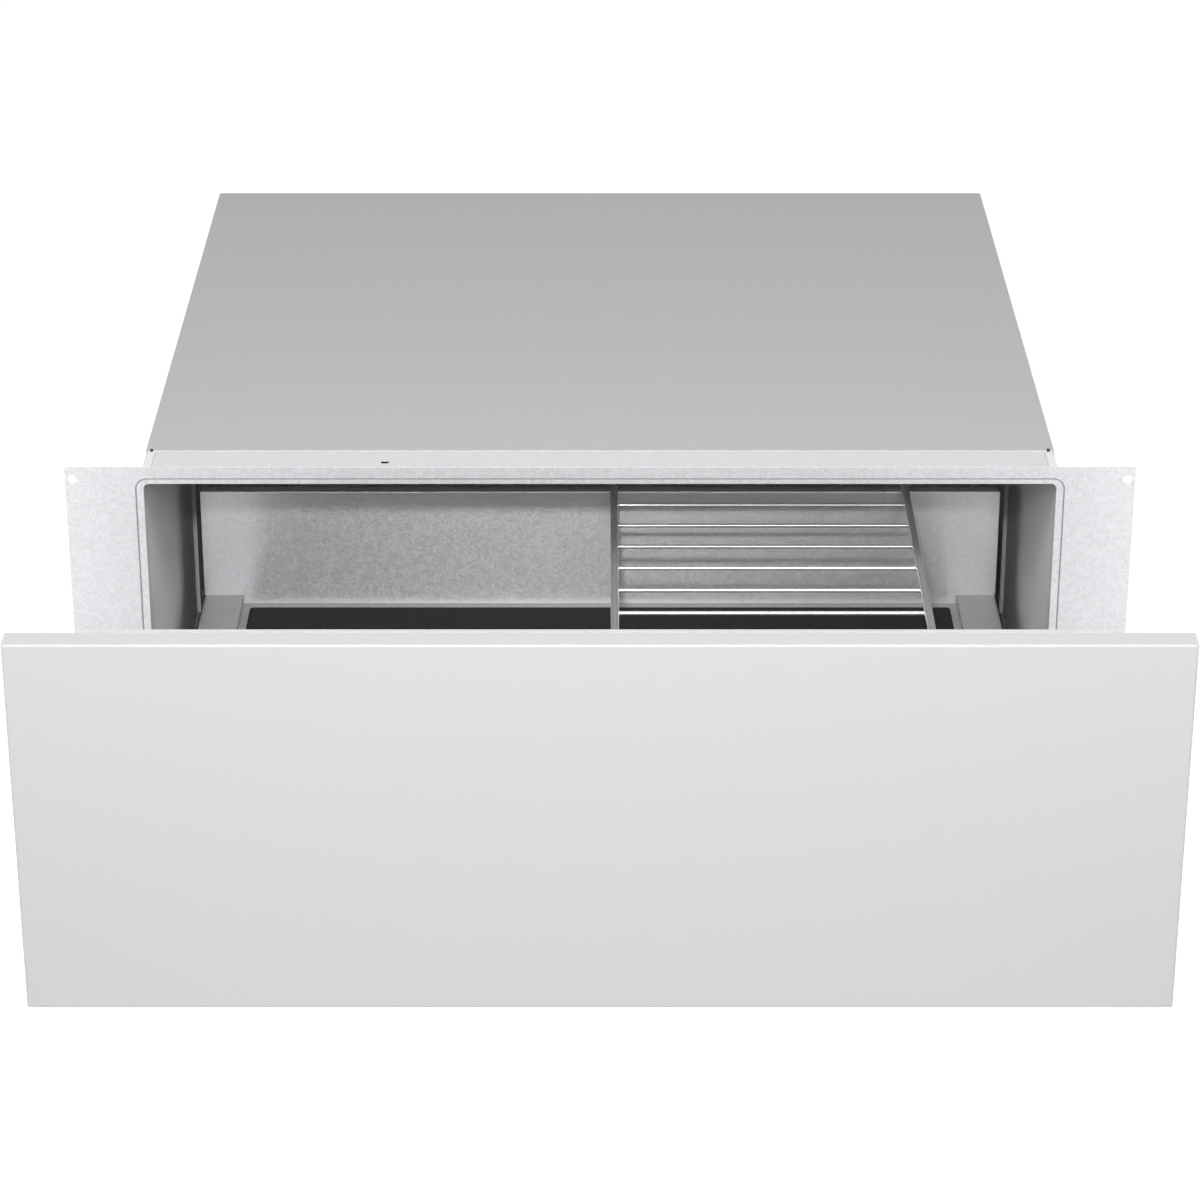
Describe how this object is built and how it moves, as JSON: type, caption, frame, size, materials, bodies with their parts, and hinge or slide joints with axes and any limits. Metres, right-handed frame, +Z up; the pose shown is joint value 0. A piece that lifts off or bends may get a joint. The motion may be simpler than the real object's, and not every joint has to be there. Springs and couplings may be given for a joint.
{
  "type": "built-in warming drawer",
  "caption": "Built-in warming drawer, half open, with a flat front, zinc-coated housing, mounting flange and a wire rack over the right half.",
  "frame": {"origin": "centre of the four flange screw holes, on the flange's rear face where it seats on the cabinet", "axes": "+X to the right seen from the front, +Y into the cabinet, +Z up; the drawer opens towards -Y"},
  "size_m": [0.7556, 0.9061, 0.265],
  "materials": {
    "front_lacquer": "smooth light grey lacquer",
    "stainless": "satin, faint speckle",
    "zinc_steel": "zinc coated, fine spangle",
    "slide_steel": "zinc plated",
    "chrome_wire": "polished",
    "mat_rubber": "matt",
    "seal_silicone": "matt",
    "black_gloss": "glossy",
    "fastener_steel": "zinc plated",
    "mineral_wool": "fibrous",
    "heater_steel": "heat tinted",
    "aluminium_cast": "matt",
    "motor_steel": "laminated",
    "coil_tape": "taped",
    "black_plastic": "matt",
    "grey_plastic": "matt",
    "board_green": "satin",
    "lead_grey": "matt"
  },
  "bodies": {
    "housing": {"mounting_frame": "zinc_steel", "front_rail": "zinc_steel", "side_panel_left": "zinc_steel", "side_panel_right": "zinc_steel", "side_channel_left": "zinc_steel", "side_channel_right": "zinc_steel", "base_pan": "zinc_steel", "top_cover": "zinc_steel", "rear_panel": "zinc_steel", "cover_screws": "fastener_steel", "cavity_roof": "zinc_steel", "cavity_rear_wall": "zinc_steel", "roof_insulation": "mineral_wool", "base_insulation": "mineral_wool", "slide_bracket_left": "zinc_steel", "slide_bracket_right": "zinc_steel", "slide_outer_left": "slide_steel", "slide_outer_right": "slide_steel", "fan_shroud": "zinc_steel", "ring_heater": "heater_steel", "motor_stator": "motor_steel", "motor_coil": "coil_tape", "bearing_bracket_front": "aluminium_cast", "bearing_bracket_rear": "aluminium_cast", "thermal_cutout": "black_plastic", "temperature_sensor": "fastener_steel", "latch_body": "grey_plastic", "control_board": "board_green", "board_carrier": "grey_plastic", "terminal_block": "grey_plastic", "cord_gland": "black_plastic", "ribbon_lead": "lead_grey"},
    "drawer": {"front_panel": "front_lacquer", "drawer_front_plate": "stainless", "front_seal": "seal_silicone", "control_strip": "black_gloss", "panel_screws": "fastener_steel", "drawer_tray": "stainless", "drawer_rear_wall": "stainless", "anti_slip_mat": "mat_rubber", "tray_stiffeners": "zinc_steel", "front_gusset_left": "zinc_steel", "front_gusset_right": "zinc_steel", "slide_inner_left": "slide_steel", "slide_inner_right": "slide_steel"},
    "rack": {"wire_rack": "chrome_wire"},
    "middle_left": {"slide_middle_left": "slide_steel"},
    "middle_right": {"slide_middle_right": "slide_steel"},
    "cage_outer_left": {"outer_cage_left": "slide_steel"},
    "cage_outer_right": {"outer_cage_right": "slide_steel"},
    "cage_inner_left": {"inner_cage_left": "slide_steel"},
    "cage_inner_right": {"inner_cage_right": "slide_steel"},
    "fan": {"fan_wheel": "aluminium_cast", "motor_rotor": "motor_steel"},
    "plunger": {"latch_plunger": "grey_plastic"}
  },
  "joints": [
    {"name": "drawer_slide", "type": "slide", "parent": "housing", "child": "drawer", "axis": [0, -1, 0], "range_m": [-0.261, 0.179], "deforming": ["ribbon_lead"]},
    {"name": "cage_outer_left_slide", "type": "slide", "parent": "housing", "child": "cage_outer_left", "axis": [0, -1, 0], "range_m": [-0.06525, 0.04475]},
    {"name": "middle_left_slide", "type": "slide", "parent": "housing", "child": "middle_left", "axis": [0, -1, 0], "range_m": [-0.1305, 0.0895]},
    {"name": "cage_inner_left_slide", "type": "slide", "parent": "housing", "child": "cage_inner_left", "axis": [0, -1, 0], "range_m": [-0.19575, 0.13425]},
    {"name": "cage_outer_right_slide", "type": "slide", "parent": "housing", "child": "cage_outer_right", "axis": [0, -1, 0], "range_m": [-0.06525, 0.04475]},
    {"name": "middle_right_slide", "type": "slide", "parent": "housing", "child": "middle_right", "axis": [0, -1, 0], "range_m": [-0.1305, 0.0895]},
    {"name": "cage_inner_right_slide", "type": "slide", "parent": "housing", "child": "cage_inner_right", "axis": [0, -1, 0], "range_m": [-0.19575, 0.13425]},
    {"name": "rack_lift", "type": "slide", "parent": "drawer", "child": "rack", "axis": [0, 0, 1], "range_m": [0, 0.06]},
    {"name": "fan_spin", "type": "hinge", "parent": "housing", "child": "fan", "pos_m": [0, 0.5, 0.062], "axis": [0, 1, 0], "continuous": true},
    {"name": "latch_press", "type": "slide", "parent": "housing", "child": "plunger", "axis": [0, 1, 0], "range_m": [0, 0.004], "stiffness_N_per_m": 300, "springref_m": -0.02}
  ],
  "couplings": [
    {"joint": "cage_outer_left_slide", "follows": "drawer_slide", "ratio": 0.25},
    {"joint": "middle_left_slide", "follows": "drawer_slide", "ratio": 0.5},
    {"joint": "cage_inner_left_slide", "follows": "drawer_slide", "ratio": 0.75},
    {"joint": "cage_outer_right_slide", "follows": "drawer_slide", "ratio": 0.25},
    {"joint": "middle_right_slide", "follows": "drawer_slide", "ratio": 0.5},
    {"joint": "cage_inner_right_slide", "follows": "drawer_slide", "ratio": 0.75}
  ]
}
